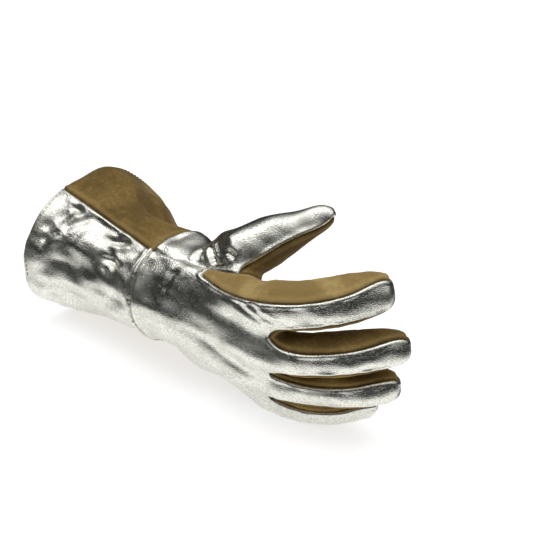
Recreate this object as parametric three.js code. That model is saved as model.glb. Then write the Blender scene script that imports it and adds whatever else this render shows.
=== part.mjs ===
// A right-hand heat resistant gauntlet glove in leather: metallised leather on the back of the hand, the backs of the
// fingers and the outside of the cuff, and suede on the palm side and between the fingers.
// Millimetres, +Z up. The glove lies on its little-finger side: +X runs along the back of the hand to the fingers,
// the back of the hand faces -Y and the thumb is at +Z. The forearm goes in through the mouth of the cuff, at -X.
import * as THREE from "three";

// Leather and seams
const WALL = 2.2; // one layer of leather
const SEAM_GAP = 0.3; // between two panels where they are sewn together
const WELT_WIDTH = 5.5; // the rolled seam that joins the cuff to the hand
const WELT_HEIGHT = 2.4;
const HEM_WIDTH = 9; // the edge of the cuff, turned in and sewn down
const HEM_WALL = 3.6;

// How the glove lies: turned from the hand's own directions onto the cuff's rim and the side of the little finger.
const REST_LEAN = -7.2; // degrees, the thumb side leans towards the palm
const REST_RISE = 11.4; // degrees, the fingers' end is raised
const REST_FLAT = 2.5; // how much of the underside is flattened where it lies

// Cuff
const CUFF_LENGTH = 103;
const RIM_HEIGHT = 113;
const RIM_DEPTH = 130;
const CUFF_SWING = -2; // degrees, the forearm end swings towards the palm side
const CUFF_DROP = -10; // degrees, the forearm end hangs below the wrist

// Hand
const WRIST_HEIGHT = 82;
const WRIST_DEPTH = 81;
const HAND_LENGTH = 118; // wrist seam to the root of the index finger
const KNUCKLE_HEIGHT = 107;
const KNUCKLE_DEPTH = 43;
const KNUCKLE_CUP = 38; // how far the little-finger side of the hand curls towards the palm
const THUMB_CROTCH = 0.68; // where the thumb leaves the hand, as a share of the hand's length
const STRIP_START = 0.42; // where the suede strip beside the index finger starts, as a share of the hand's length
const INDEX_SEAM = 49; // degrees over the back from the thumb side, the strip's seam with the back at the knuckles

// Fingers
const FINGER_LENGTH = 97; // the middle finger's, root to tip
const FINGER_WIDTH = 32;
const FINGER_DEPTH = 32;
const THUMB_LENGTH = 75;
const THUMB_WIDTH = 42;
const THUMB_DEPTH = 39;

// Each row is one finger. along, out and up place its root: shares of the hand's length, the knuckles' depth (towards
// the palm) and the knuckles' height, from the wrist's centre. length, width and depth are shares of the finger sizes.
// yaw, pitch and twist turn it at the root, and bend gives how far it is curled at the root, the middle and the tip.
// The thumb's base is the place in the wrist that its own part of the hand grows from, in shares of the wrist's size.
const FINGERS = [
  { name: "index", along: 1.00, out: -0.03, up: 0.17, length: 0.89, width: 1.12, depth: 1.04, yaw: 5, pitch: 3, twist: -17, bend: [8, 47, 58] },
  { name: "middle", along: 1.01, out: 0.10, up: -0.15, length: 0.98, width: 0.97, depth: 1.00, yaw: 5, pitch: -1, twist: -14, bend: [12, 46, 49] },
  { name: "ring", along: 0.88, out: 0.35, up: -0.39, length: 0.97, width: 0.92, depth: 0.96, yaw: 4, pitch: -6, twist: -16, bend: [14, 36, 52] },
  { name: "little", along: 0.76, out: 0.71, up: -0.57, length: 0.81, width: 0.83, depth: 0.86, yaw: 13, pitch: -16, twist: -42, bend: [9, 30, 38] },
];
const THUMB = { along: 0.55, out: 0.30, up: 0.38, yaw: 36, pitch: 31, twist: 17, bend: [3, 3, 4], base: [0, 0.06, 0.2] };

// How a finger's size changes from root to tip: at is a share of its length, size a share of its width and depth, and
// pad how much deeper its palm side is, as a share.
const FINGER_PROFILE = [
  { at: 0, size: 1.00, pad: 0 },
  { at: 0.3, size: 1.00, pad: 0 },
  { at: 0.6, size: 1.00, pad: 0 },
  { at: 0.8, size: 0.87, pad: 0 },
  { at: 0.92, size: 0.73, pad: 0 },
  { at: 0.98, size: 0.41, pad: 0 },
];
const THUMB_PROFILE = [
  { at: 0, size: 1.00, pad: 0.6 },
  { at: 0.3, size: 0.86, pad: 0.3 },
  { at: 0.6, size: 0.63, pad: 0.08 },
  { at: 0.8, size: 0.42, pad: 0 },
  { at: 0.92, size: 0.27, pad: 0 },
  { at: 0.98, size: 0.09, pad: 0 },
];
// Half of the metallised panel's arc on a finger, in degrees, by share of the finger's length.
const BACK_ARC = [
  { at: 0, half: 35 },
  { at: 0.6, half: 35 },
  { at: 0.85, half: 56 },
  { at: 1, half: 63 },
];
const PALM_ARC = 46; // half of the palm panel's arc on a finger, in degrees
const STRIP_ARC = 34; // the arc of the index finger's side that goes on into the strip, in degrees

// Seams round the hand, in degrees from the thumb side over the back: the metallised back's two edges and the
// divisions between fingers, then the same on the palm side. The first entry of each row belongs to the thumb.
const BACK_EDGES = [-3, 35, 68, 95, 121, 160];
const PALM_EDGES = [-62, -84, -102, -118, -136, -162];

// How the hand grows from wrist to knuckles: at is a share of its length and grown the share of the way. heel and edge
// are how far the heel of the palm and the little-finger edge stand out, as shares of the wrist's depth and height.
const HAND = [
  { at: 0, grown: 0, heel: 0, edge: 0.00 },
  { at: 0.25, grown: 0.22, heel: 0.1, edge: -0.02 },
  { at: 0.6, grown: 0.66, heel: 0.12, edge: 0.05 },
  { at: 1, grown: 1, heel: 0.02, edge: 0.00 },
];
// The cuff from wrist to rim: grown is the share of the way from wrist size to rim size.
const CUFF = [
  { at: 0, grown: 0.00 },
  { at: 0.2, grown: 0.14 },
  { at: 0.5, grown: 0.48 },
  { at: 0.8, grown: 0.86 },
  { at: 1, grown: 1.00 },
];

// Mesh steps
const BACK_STEPS = 4; // across each finger's back, and across its palm side
const SIDE_STEPS = 2; // across each side of a finger
const CROTCH_PASSES = 5;
const CROTCH_REACH = 26; // how far from a crotch the leather is smoothed
const HAND_ROWS = 10;
const STRIP_ROW = 4; // of the hand's rows, the one where the index finger's strip starts
const THUMB_ROW = 7; // and the one where the thumb leaves
const FINGER_ROWS = [0.07, 0.18, 0.31, 0.45, 0.58, 0.7, 0.81, 0.9, 0.965];
const CUFF_ROWS = [0.07, 0.2, 0.36, 0.53, 0.7, 0.84, 1 - (HEM_WIDTH + 1) / CUFF_LENGTH, 1 - HEM_WIDTH / CUFF_LENGTH, 1];

const rad = THREE.MathUtils.degToRad;
const mix = THREE.MathUtils.lerp;
const smooth = (x) => THREE.MathUtils.smoothstep(x, 0, 1);

// A column of a table at any place, on a smooth curve through its rows.
function column(table, key, at) {
  const last = table.length - 1;
  let i = 0;
  while (i < last - 1 && at > table[i + 1].at) i++;
  const [a, b] = [table[i], table[i + 1]];
  const span = b.at - a.at;
  const t = THREE.MathUtils.clamp((at - a.at) / span, 0, 1);
  const slope = (j) => {
    const [p, q] = [table[Math.max(j - 1, 0)], table[Math.min(j + 1, last)]];
    return ((q[key] - p[key]) / (q.at - p.at)) * span;
  };
  const [m, n] = [slope(i), slope(i + 1)];
  const t2 = t * t;
  const t3 = t2 * t;
  return (2 * t3 - 3 * t2 + 1) * a[key] + (t3 - 2 * t2 + t) * m + (3 * t2 - 2 * t3) * b[key] + (t3 - t2) * n;
}

// A point of the hand's own oval: u is the share of its length, angle in degrees from the thumb side over the back.
function handPoint(u, angle) {
  const grown = column(HAND, "grown", u);
  const [c, s] = [Math.cos(rad(angle)), Math.sin(rad(angle))];
  const height = mix(WRIST_HEIGHT, KNUCKLE_HEIGHT, grown) / 2;
  const depth = mix(WRIST_DEPTH, KNUCKLE_DEPTH, grown) / 2;
  const heel = s < 0 ? column(HAND, "heel", u) * WRIST_DEPTH * -s : 0;
  const cup = grown * KNUCKLE_CUP * Math.max(0, -c) ** 2;
  const edge = column(HAND, "edge", u) * WRIST_HEIGHT * Math.max(0, -c);
  const out = -s * depth + heel + cup + grown * KNUCKLE_DEPTH * 0.12;
  const reach = HAND_LENGTH * mix(1.0, 0.76, (1 - c) / 2);
  const turn = rad(CUFF_SWING / 2) * (1 - u);
  return new THREE.Vector3(
    u * reach + out * Math.sin(turn) - c * height * Math.sin(rad(CUFF_DROP / 2)) * (1 - u),
    out * Math.cos(turn),
    c * height - edge - grown * KNUCKLE_HEIGHT * 0.13,
  );
}

// A point of the cuff, t the share of its length from the wrist seam to the rim.
const cuffAxis = new THREE.Vector3(
  -Math.cos(rad(CUFF_SWING)) * Math.cos(rad(CUFF_DROP)),
  Math.sin(rad(CUFF_SWING)) * Math.cos(rad(CUFF_DROP)),
  -Math.sin(rad(CUFF_DROP)),
);
function cuffPoint(t, angle) {
  const grown = column(CUFF, "grown", t);
  const [c, s] = [Math.cos(rad(angle)), Math.sin(rad(angle))];
  const height = mix(WRIST_HEIGHT, RIM_HEIGHT, grown) / 2;
  const depth = mix(WRIST_DEPTH, RIM_DEPTH, grown) / 2;
  const across = new THREE.Vector3(Math.sin(rad(CUFF_SWING)), Math.cos(rad(CUFF_SWING)), 0);
  const up = new THREE.Vector3().crossVectors(across, cuffAxis);
  const own = new THREE.Vector3()
    .addScaledVector(cuffAxis, t * CUFF_LENGTH)
    .addScaledVector(across, -s * depth)
    .addScaledVector(up, c * height);
  return handPoint(0, angle).lerp(own, smooth(t * 3));
}

// A finger or thumb: its curved centreline with the directions round it, found by stepping along its length.
function makeRay(row, length, width, depth, profile) {
  const ahead = new THREE.Vector3(
    Math.cos(rad(row.pitch)) * Math.cos(rad(row.yaw)),
    Math.cos(rad(row.pitch)) * Math.sin(rad(row.yaw)),
    Math.sin(rad(row.pitch)),
  );
  const level = new THREE.Vector3(Math.sin(rad(row.yaw)), -Math.cos(rad(row.yaw)), 0);
  const rise = new THREE.Vector3().crossVectors(level, ahead);
  const back = level.clone().multiplyScalar(Math.cos(rad(row.twist))).addScaledVector(rise, Math.sin(rad(row.twist)));
  const side = rise.clone().multiplyScalar(Math.cos(rad(row.twist))).addScaledVector(level, -Math.sin(rad(row.twist)));
  const root = new THREE.Vector3(row.along * HAND_LENGTH, row.out * KNUCKLE_DEPTH, row.up * KNUCKLE_HEIGHT);
  const bends = row.bend.map((curl, i) => ({ at: i / 2, curl: rad(curl) }));
  const frameAt = (s) => {
    const curl = s < 0 ? bends[0].curl : column(bends, "curl", s);
    return {
      ahead: ahead.clone().multiplyScalar(Math.cos(curl)).addScaledVector(back, -Math.sin(curl)),
      back: back.clone().multiplyScalar(Math.cos(curl)).addScaledVector(ahead, Math.sin(curl)),
    };
  };
  const base = row.base && new THREE.Vector3(0, row.base[1] * WRIST_DEPTH, row.base[2] * WRIST_HEIGHT);
  const centre = (s) => {
    const at = root.clone();
    if (base && s < 0) return at.lerp(base, (-s * length) / root.distanceTo(base));
    const steps = 40;
    for (let i = 0; i < steps; i++) at.addScaledVector(frameAt((s * (i + 0.5)) / steps).ahead, (s * length) / steps);
    return at;
  };
  const point = (s, angle) => {
    const size = column(profile, "size", Math.max(s, 0));
    const c = Math.cos(rad(angle));
    let n = Math.sin(rad(angle));
    if (n < 0) n *= 1 + column(profile, "pad", Math.max(s, 0));
    return centre(s).addScaledVector(side, (c * size * width) / 2).addScaledVector(frameAt(s).back, (n * size * depth) / 2);
  };
  return { ...row, length, point, tip: centre(1) };
}

const rays = [
  makeRay(THUMB, THUMB_LENGTH, THUMB_WIDTH, THUMB_DEPTH, THUMB_PROFILE),
  ...FINGERS.map((f) =>
    makeRay(f, f.length * FINGER_LENGTH, f.width * FINGER_WIDTH, f.depth * FINGER_DEPTH, FINGER_PROFILE),
  ),
];

// The whole outer surface as one mesh of shared corners, each face marked with the panel that it belongs to.
const corners = [];
const cornerOf = new Map();
const faces = [];
function corner(key, place) {
  if (!cornerOf.has(key)) {
    cornerOf.set(key, corners.length);
    corners.push(place());
  }
  return cornerOf.get(key);
}
function quad(panel, a, b, c, d) {
  for (const loop of [[a, b, c], [a, c, d]]) if (new Set(loop).size === 3) faces.push({ panel, loop });
}

function handRowAt(row) {
  if (row <= STRIP_ROW) return (row / STRIP_ROW) * STRIP_START;
  if (row <= THUMB_ROW) return mix(STRIP_START, THUMB_CROTCH, (row - STRIP_ROW) / (THUMB_ROW - STRIP_ROW));
  return mix(THUMB_CROTCH, 1, (row - THUMB_ROW) / (HAND_ROWS - THUMB_ROW));
}
const rootRow = (ray) => (ray === 0 ? THUMB_ROW : HAND_ROWS); // the row where a ray leaves the hand
const crotchRow = rootRow; // and so where it leaves the next ray
const lastRow = (ray) => rootRow(ray) + FINGER_ROWS.length;

// The angles of one line of corners, on the hand's oval (at u, a share of its length) and on the finger's own (at s).
// Part is back, palm, strip (on the index finger only), thumbward or littleward, and share runs across it.
function anglesOf(ray, part, share, u, s) {
  const half = column(BACK_ARC, "half", THREE.MathUtils.clamp(s, 0, 1));
  const [p0, p1] = [PALM_EDGES[ray], PALM_EDGES[ray + 1]];
  const [q0, q1] = [90 - half, 90 + half];
  const [r0, r1] = [PALM_ARC - 90, -90 - PALM_ARC];
  let [b0, b1] = [BACK_EDGES[ray], BACK_EDGES[ray + 1]];
  let top = b0;
  if (ray === 1) {
    const open = THREE.MathUtils.clamp(((u - STRIP_START) / (1 - STRIP_START)) * 1.6, 0, 1);
    b0 = mix(b0, INDEX_SEAM, 1 - (1 - open) ** 2);
    top = mix(top, 20, smooth((u - THUMB_CROTCH) / (1 - THUMB_CROTCH)));
  }
  if (part === "back") return [mix(b0, b1, share), mix(q0, q1, share)];
  if (part === "palm") return [mix(p0, p1, share), mix(r0, r1, share)];
  if (part === "strip") return [mix(b0, top, share), q0 - STRIP_ARC * share];
  if (part === "thumbward") return [mix(top, p0, share), mix(ray === 1 ? q0 - STRIP_ARC : q0, r0, share)];
  return [mix(b1, p1 + 360, share), mix(q1, r1 + 360, share)];
}

function placeOn(ray, row, part, share) {
  const root = rootRow(ray);
  if (row > root) {
    const s = FINGER_ROWS[row - root - 1];
    return rays[ray].point(s, anglesOf(ray, part, share, 1, s)[1]);
  }
  const u = handRowAt(row);
  const end = ray === 0 ? THUMB_CROTCH : 1;
  const [onHand, onFinger] = anglesOf(ray, part, share, u, 0);
  const s = ((u - end) * HAND_LENGTH * (ray === 0 ? 1 : rays[ray].along)) / rays[ray].length;
  const weight = smooth(ray === 0 ? u / end : (u - 0.5) / 0.5);
  return handPoint(u, onHand).lerp(rays[ray].point(s, onFinger), weight);
}

const midway = (a, b) => a.clone().add(b).multiplyScalar(0.5);

const stepsOf = (part) => (part === "back" || part === "palm" ? BACK_STEPS : SIDE_STEPS);

// One corner of the surface. Corners on a line that two rays share are named for the first of the two.
function at(ray, row, part, step) {
  const steps = stepsOf(part);
  if (part === "strip" && step === 0) return at(ray, row, "back", 0);
  if (part === "thumbward" && step === 0) return ray === 1 ? at(ray, row, "strip", SIDE_STEPS) : at(ray, row, "back", 0);
  if (part === "thumbward" && step === steps) return at(ray, row, "palm", 0);
  if (part === "littleward" && step === 0) return at(ray, row, "back", BACK_STEPS);
  if (part === "littleward" && step === steps) return at(ray, row, "palm", BACK_STEPS);
  const share = step / steps;
  const outer = ray === 1 ? "strip" : "back"; // the part of a ray that meets the ray before it, on the back
  const outerEdge = part === outer && step === (ray === 1 ? SIDE_STEPS : 0);
  if (ray > 0 && row <= crotchRow(ray - 1) && outerEdge) return at(ray - 1, row, "back", BACK_STEPS);
  if (ray > 0 && row <= crotchRow(ray - 1) && part === "palm" && step === 0) return at(ray - 1, row, "palm", BACK_STEPS);
  if (ray === 1 && row <= STRIP_ROW && (part === "strip" || (part === "back" && step === 0))) return at(0, row, "back", BACK_STEPS);
  if (step === steps && ray < 4 && row <= crotchRow(ray) && part === "back") {
    const next = ray === 0 ? ["strip", 1] : ["back", 0];
    return corner(`${ray} ${row} back shared`, () => midway(placeOn(ray, row, "back", 1), placeOn(ray + 1, row, ...next)));
  }
  if (step === steps && ray < 4 && row <= crotchRow(ray) && part === "palm")
    return corner(`${ray} ${row} palm shared`, () => midway(placeOn(ray, row, "palm", 1), placeOn(ray + 1, row, "palm", 0)));
  if (part === "thumbward" && ray > 0 && row === crotchRow(ray - 1)) return at(ray - 1, row, "littleward", step);
  if (part === "littleward" && ray < 4 && row === crotchRow(ray))
    return corner(`${ray} ${row} web ${step}`, () => midway(placeOn(ray, row, part, share), placeOn(ray + 1, row, "thumbward", share)));
  return corner(`${ray} ${row} ${part} ${step}`, () => placeOn(ray, row, part, share));
}

// Which panel each strip of faces belongs to.
const PANELS = {
  back: ["thumb_back", "hand_back", "hand_back", "hand_back", "hand_back"],
  palm: ["thumb_front", "hand_palm", "hand_palm", "hand_palm", "hand_palm"],
  strip: [null, "index_side"],
  thumbward: ["thumb_back", "index_side", "index_middle_gusset", "middle_ring_gusset", "ring_little_gusset"],
  littleward: ["thumb_front", "index_middle_gusset", "middle_ring_gusset", "ring_little_gusset", "hand_palm"],
};
for (let ray = 0; ray < 5; ray++) {
  for (const part of ["back", "palm", "strip", "thumbward", "littleward"]) {
    if (!PANELS[part][ray]) continue;
    let first = 0;
    if (part === "strip") first = STRIP_ROW;
    if (part === "thumbward" && ray > 0) first = crotchRow(ray - 1);
    if (part === "littleward" && ray < 4) first = crotchRow(ray);
    for (let row = first; row < lastRow(ray); row++)
      for (let j = 0; j < stepsOf(part); j++) {
        const loop = [at(ray, row, part, j), at(ray, row, part, j + 1), at(ray, row + 1, part, j + 1), at(ray, row + 1, part, j)];
        if (part !== "back" && part !== "littleward") loop.reverse();
        quad(PANELS[part][ray], ...loop);
      }
  }
  // the tip is closed by the metallised panel
  const rim = [];
  for (let j = 0; j < BACK_STEPS; j++) rim.push(at(ray, lastRow(ray), "back", j));
  for (let j = 0; j < SIDE_STEPS; j++) rim.push(at(ray, lastRow(ray), "littleward", j));
  for (let j = BACK_STEPS; j > 0; j--) rim.push(at(ray, lastRow(ray), "palm", j));
  for (let j = SIDE_STEPS; j > 0; j--) rim.push(at(ray, lastRow(ray), "thumbward", j));
  if (ray === 1) for (let j = SIDE_STEPS; j > 0; j--) rim.push(at(ray, lastRow(ray), "strip", j));
  const tip = corner(`${ray} tip`, () => rays[ray].tip.clone());
  rim.forEach((a, i) => faces.push({ panel: PANELS.back[ray], loop: [a, rim[(i + 1) % rim.length], tip] }));
}

// The wrist ring in order from the thumb seam over the back, with each corner's angle round the hand.
const wrist = [];
const addWrist = (ray, part, step) => {
  wrist.push({ corner: at(ray, 0, part, step), angle: anglesOf(ray, part, step / stepsOf(part), 0, 0)[0] });
};
for (let ray = 0; ray < 5; ray++) for (let j = 0; j < BACK_STEPS; j++) addWrist(ray, "back", j);
for (let j = 0; j < SIDE_STEPS; j++) addWrist(4, "littleward", j);
for (let ray = 4; ray >= 0; ray--) for (let j = BACK_STEPS; j > 0; j--) addWrist(ray, "palm", j);
for (let j = SIDE_STEPS; j > 0; j--) addWrist(0, "thumbward", j);
const backFirst = BACK_STEPS; // the wrist ring's corners where the metallised back starts and ends
const backLast = BACK_STEPS * 5;
const cuffCorner = (row, i) => {
  const w = wrist[i % wrist.length];
  return row === 0 ? w.corner : corner(`cuff ${row} ${i % wrist.length}`, () => cuffPoint(CUFF_ROWS[row - 1], w.angle));
};
const hemmed = new Set();
for (let i = 0; i < wrist.length; i++) for (const row of [-1, 0]) hemmed.add(cuffCorner(CUFF_ROWS.length + row, i));
for (let row = 0; row < CUFF_ROWS.length; row++)
  for (let i = 0; i < wrist.length; i++) {
    const panel = i >= backFirst && i < backLast ? "cuff_back" : "cuff_palm";
    quad(panel, cuffCorner(row, i + 1), cuffCorner(row, i), cuffCorner(row + 1, i), cuffCorner(row + 1, i + 1));
  }

// The leather runs smoothly through the crotches between the fingers: near each, corners settle between their neighbours.
const neighbours = corners.map(() => new Set());
for (const { loop } of faces) loop.forEach((v, i) => neighbours[v].add(loop[(i + 1) % 3]).add(loop[(i + 2) % 3]));
for (let pass = 0; pass < CROTCH_PASSES; pass++) {
  const crotches = [];
  for (let ray = 0; ray < 4; ray++)
    for (let j = 0; j <= SIDE_STEPS; j++) crotches.push(corners[at(ray, crotchRow(ray), "littleward", j)].clone());
  const settled = corners.map((p, v) => {
    const near = Math.min(...crotches.map((c) => c.distanceTo(p)));
    const share = 0.6 * smooth(1 - near / CROTCH_REACH);
    if (share === 0) return p;
    const mean = new THREE.Vector3();
    for (const n of neighbours[v]) mean.addScaledVector(corners[n], 1 / neighbours[v].size);
    return p.clone().lerp(mean, share);
  });
  settled.forEach((p, v) => corners[v].copy(p));
}

// Turned to the way it lies, with the underside flattened at z = 0 and the whole centred over the origin.
const rest = new THREE.Matrix4()
  .makeRotationY(rad(-REST_RISE))
  .multiply(new THREE.Matrix4().makeRotationX(rad(REST_LEAN)));
const extent = new THREE.Box3();
for (const p of corners) extent.expandByPoint(p.applyMatrix4(rest));
const middle = extent.getCenter(new THREE.Vector3());
for (const p of corners) {
  p.set(p.x - middle.x, p.y - middle.y, Math.max(0, p.z - extent.min.z - REST_FLAT));
}

// Directions out of the surface, shared by every panel, so that sewn edges stay parallel.
const normals = corners.map(() => new THREE.Vector3());
for (const { loop } of faces) {
  const [a, b, c] = loop.map((i) => corners[i]);
  const n = new THREE.Vector3().crossVectors(b.clone().sub(a), c.clone().sub(a));
  for (const i of loop) normals[i].add(n);
}
for (const n of normals) n.normalize();

// A closed solid from a list of triangles over points.
function solid(name, material, points, triangles) {
  const geometry = new THREE.BufferGeometry();
  geometry.setAttribute("position", new THREE.Float32BufferAttribute(points.flatMap((p) => p.toArray()), 3));
  geometry.setIndex(triangles.flat());
  geometry.computeVertexNormals();
  const mesh = new THREE.Mesh(geometry, material);
  mesh.name = name;
  return mesh;
}

// The panels that meet at each corner.
const meeting = corners.map(() => new Set());
for (const { panel, loop } of faces) for (const v of loop) meeting[v].add(panel);

// A panel: its faces, drawn in by half a seam gap at the edges and given the leather's thickness.
function panelSolid(name, material) {
  const own = faces.filter((f) => f.panel === name);
  const used = [...new Set(own.flatMap((f) => f.loop))];
  const index = new Map(used.map((v, i) => [v, i]));
  const edges = new Map();
  for (const { loop } of own)
    loop.forEach((a, i) => {
      const b = loop[(i + 1) % 3];
      if (edges.has(`${b} ${a}`)) edges.delete(`${b} ${a}`);
      else edges.set(`${a} ${b}`, [a, b]);
    });
  const inward = new Map();
  for (const [a, b] of edges.values()) {
    for (const v of [a, b]) {
      const across = new THREE.Vector3().crossVectors(normals[v], corners[b].clone().sub(corners[a])).normalize();
      inward.set(v, [...(inward.get(v) || []), across]);
    }
  }
  const outer = used.map((v) => {
    const p = corners[v].clone();
    const across = inward.get(v);
    if (!across) return p;
    if (meeting[v].size > 2) across.push(...across.map((d) => d.clone())); // twice the gap where three panels meet
    const sum = across.reduce((s, d) => s.add(d), new THREE.Vector3());
    const spread = Math.max(0.12, 1 + (across.length > 1 ? across[0].dot(across[1]) : 0));
    p.addScaledVector(sum, SEAM_GAP / 2 / spread);
    return p.setZ(Math.max(0, p.z));
  });
  const inner = used.map((v, i) => outer[i].clone().addScaledVector(normals[v], hemmed.has(v) ? -HEM_WALL : -WALL));
  const n = used.length;
  const triangles = [];
  for (const { loop } of own) {
    const [a, b, c] = loop.map((v) => index.get(v));
    triangles.push([a, b, c], [c + n, b + n, a + n]);
  }
  for (const [from, to] of edges.values()) {
    const [a, b] = [index.get(from), index.get(to)];
    // both panels of a seam split their facing walls along the same diagonal
    if (from < to) triangles.push([b, a, b + n], [a, a + n, b + n]);
    else triangles.push([b, a, a + n], [b, a + n, b + n]);
  }
  return solid(name, material, [...outer, ...inner], triangles);
}

// The rolled seam over the wrist: a rounded bead laid on the surface from one corner of the wrist ring to another.
const BEAD = [
  { across: -1, height: 0 },
  { across: -0.6, height: 0.75 },
  { across: 0, height: 1 },
  { across: 0.6, height: 0.75 },
  { across: 1, height: 0 },
  { across: 0, height: 0 },
];
const handRow = [];
for (let ray = 0; ray < 5; ray++) for (let j = 0; j < BACK_STEPS; j++) handRow.push(at(ray, 1, "back", j));
for (let j = 0; j < SIDE_STEPS; j++) handRow.push(at(4, 1, "littleward", j));
for (let ray = 4; ray >= 0; ray--) for (let j = BACK_STEPS; j > 0; j--) handRow.push(at(ray, 1, "palm", j));
for (let j = SIDE_STEPS; j > 0; j--) handRow.push(at(0, 1, "thumbward", j));
function weltSolid(name, material, first, last) {
  const points = [];
  const triangles = [];
  const size = BEAD.length;
  for (let k = first; k <= last; k++) {
    const i = k % wrist.length;
    const v = wrist[i].corner;
    const here = corners[v];
    const along = corners[wrist[(i + 1) % wrist.length].corner].clone().sub(here).normalize();
    const before = corners[wrist[(i + wrist.length - 1) % wrist.length].corner].clone().sub(here).normalize();
    const inset = new THREE.Vector3();
    if (k === first) inset.copy(along).multiplyScalar(SEAM_GAP / 2);
    if (k === last) inset.copy(before).multiplyScalar(SEAM_GAP / 2);
    for (const { across, height } of BEAD) {
      const to = corners[across < 0 ? cuffCorner(1, i) : handRow[i]];
      const p = here.clone().lerp(to, (Math.abs(across) * WELT_WIDTH) / 2 / here.distanceTo(to));
      points.push(p.addScaledVector(normals[v], SEAM_GAP + height * WELT_HEIGHT).add(inset));
    }
    if (k === first) continue;
    const row = (k - first) * size;
    for (let j = 0; j < size; j++) {
      const next = (j + 1) % size;
      triangles.push([row - size + j, row + next, row - size + next], [row - size + j, row + j, row + next]);
    }
  }
  const end = (last - first) * size;
  for (let j = 0; j < 4; j++) {
    triangles.push([5, j, j + 1], [end + 5, end + j + 1, end + j]);
  }
  return solid(name, material, points, triangles);
}

const metallised = new THREE.MeshStandardMaterial({ name: "metallised_leather", color: 0xc9cac6, roughness: 0.3, metalness: 0.9 });
const suede = new THREE.MeshStandardMaterial({ name: "suede", color: 0x8a6c3f, roughness: 0.95, metalness: 0 });

const glove = new THREE.Group();
for (const name of ["hand_back", "thumb_back", "cuff_back"]) glove.add(panelSolid(name, metallised));
for (const name of ["hand_palm", "thumb_front", "index_side", "index_middle_gusset", "middle_ring_gusset", "ring_little_gusset", "cuff_palm"])
  glove.add(panelSolid(name, suede));

glove.add(weltSolid("wrist_welt_back", metallised, backFirst, backLast));
glove.add(weltSolid("wrist_welt_palm", suede, backLast, backFirst + wrist.length));

export default glove;
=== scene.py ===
import math
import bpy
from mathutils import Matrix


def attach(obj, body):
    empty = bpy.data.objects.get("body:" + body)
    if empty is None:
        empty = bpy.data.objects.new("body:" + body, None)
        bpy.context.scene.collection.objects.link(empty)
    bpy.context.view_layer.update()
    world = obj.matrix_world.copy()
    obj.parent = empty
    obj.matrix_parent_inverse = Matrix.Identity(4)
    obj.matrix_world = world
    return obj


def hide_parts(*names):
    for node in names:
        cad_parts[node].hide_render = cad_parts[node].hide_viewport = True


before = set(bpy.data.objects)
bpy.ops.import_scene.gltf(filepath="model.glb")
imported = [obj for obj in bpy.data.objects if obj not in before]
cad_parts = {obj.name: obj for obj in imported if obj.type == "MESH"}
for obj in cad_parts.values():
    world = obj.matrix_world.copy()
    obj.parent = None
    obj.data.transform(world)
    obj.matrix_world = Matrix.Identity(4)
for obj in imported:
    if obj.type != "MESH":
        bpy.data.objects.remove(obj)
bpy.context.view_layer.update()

from types import SimpleNamespace

import bpy
import numpy as np
from bpy.props import FloatProperty, FloatVectorProperty, PointerProperty
from mathutils import Matrix, Vector
from mathutils.bvhtree import BVHTree
from mathutils.kdtree import KDTree

bl_info = {
    "name": "Heat resistant leather glove",
    "version": (1, 0, 0),
    "blender": (4, 5, 0),
    "location": "View3D > Sidebar > Glove",
    "description": "A right-hand gauntlet in metallised leather and suede, laid on its little-finger side",
    "category": "Object",
}

MM = 0.001


def table(names, *rows):
    """Rows of numbers under named columns."""
    return [dict(zip(names.split(), row)) for row in rows]


# Millimetres and degrees, in the hand's own directions: +X along the fingers, the back of the hand towards
# -Y and the thumb at +Z. Angles run round the hand from the thumb side over the back.
REST_LEAN, REST_RISE = -7.2, 11.4  # the way the glove lies, turned from the hand's directions
REST_PLACE = Vector((-43.19, -6.75, 60.68))
CUFF_SWING, CUFF_DROP = -2, -10
THUMB_CROTCH, STRIP_START = 0.68, 0.42  # shares of the hand's length
INDEX_SEAM, STRIP_ARC, PALM_ARC = 49, 34, 46

FINGERS = table(
    "along out up length width depth yaw pitch twist bend",
    (1.00, -0.03, 0.17, 0.89, 1.12, 1.04, 5, 3, -17, (8, 47, 58)),
    (1.01, 0.10, -0.15, 0.98, 0.97, 1.00, 5, -1, -14, (12, 46, 49)),
    (0.88, 0.35, -0.39, 0.97, 0.92, 0.96, 4, -6, -16, (14, 36, 52)),
    (0.76, 0.71, -0.57, 0.81, 0.83, 0.86, 13, -16, -42, (9, 30, 38)),
)
THUMB = table(
    "along out up yaw pitch twist bend base",
    (0.55, 0.30, 0.38, 36, 31, 17, (3, 3, 4), (0, 0.06, 0.2)),
)[0]
FINGER_PROFILE = table(
    "at size pad",
    (0, 1, 0), (0.3, 1, 0), (0.6, 1, 0), (0.8, 0.87, 0), (0.92, 0.73, 0), (0.98, 0.41, 0),
)  # fmt: skip
THUMB_PROFILE = table(
    "at size pad",
    (0, 1, 0.6), (0.3, 0.86, 0.3), (0.6, 0.64, 0.08), (0.8, 0.47, 0), (0.92, 0.34, 0), (0.98, 0.17, 0),
)  # fmt: skip
BACK_ARC = table("at half", (0, 35), (0.6, 35), (0.85, 56), (1, 63))
BACK_EDGES = (-3, 35, 68, 95, 121, 160)
PALM_EDGES = (-62, -84, -102, -118, -136, -162)
HAND = table(
    "at grown heel edge",
    (0, 0, 0, 0), (0.25, 0.22, 0.1, -0.02), (0.6, 0.66, 0.12, 0.05), (1, 1, 0.02, 0),
)  # fmt: skip
CUFF = table("at grown", (0, 0), (0.2, 0.14), (0.5, 0.48), (0.8, 0.86), (1, 1))

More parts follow.
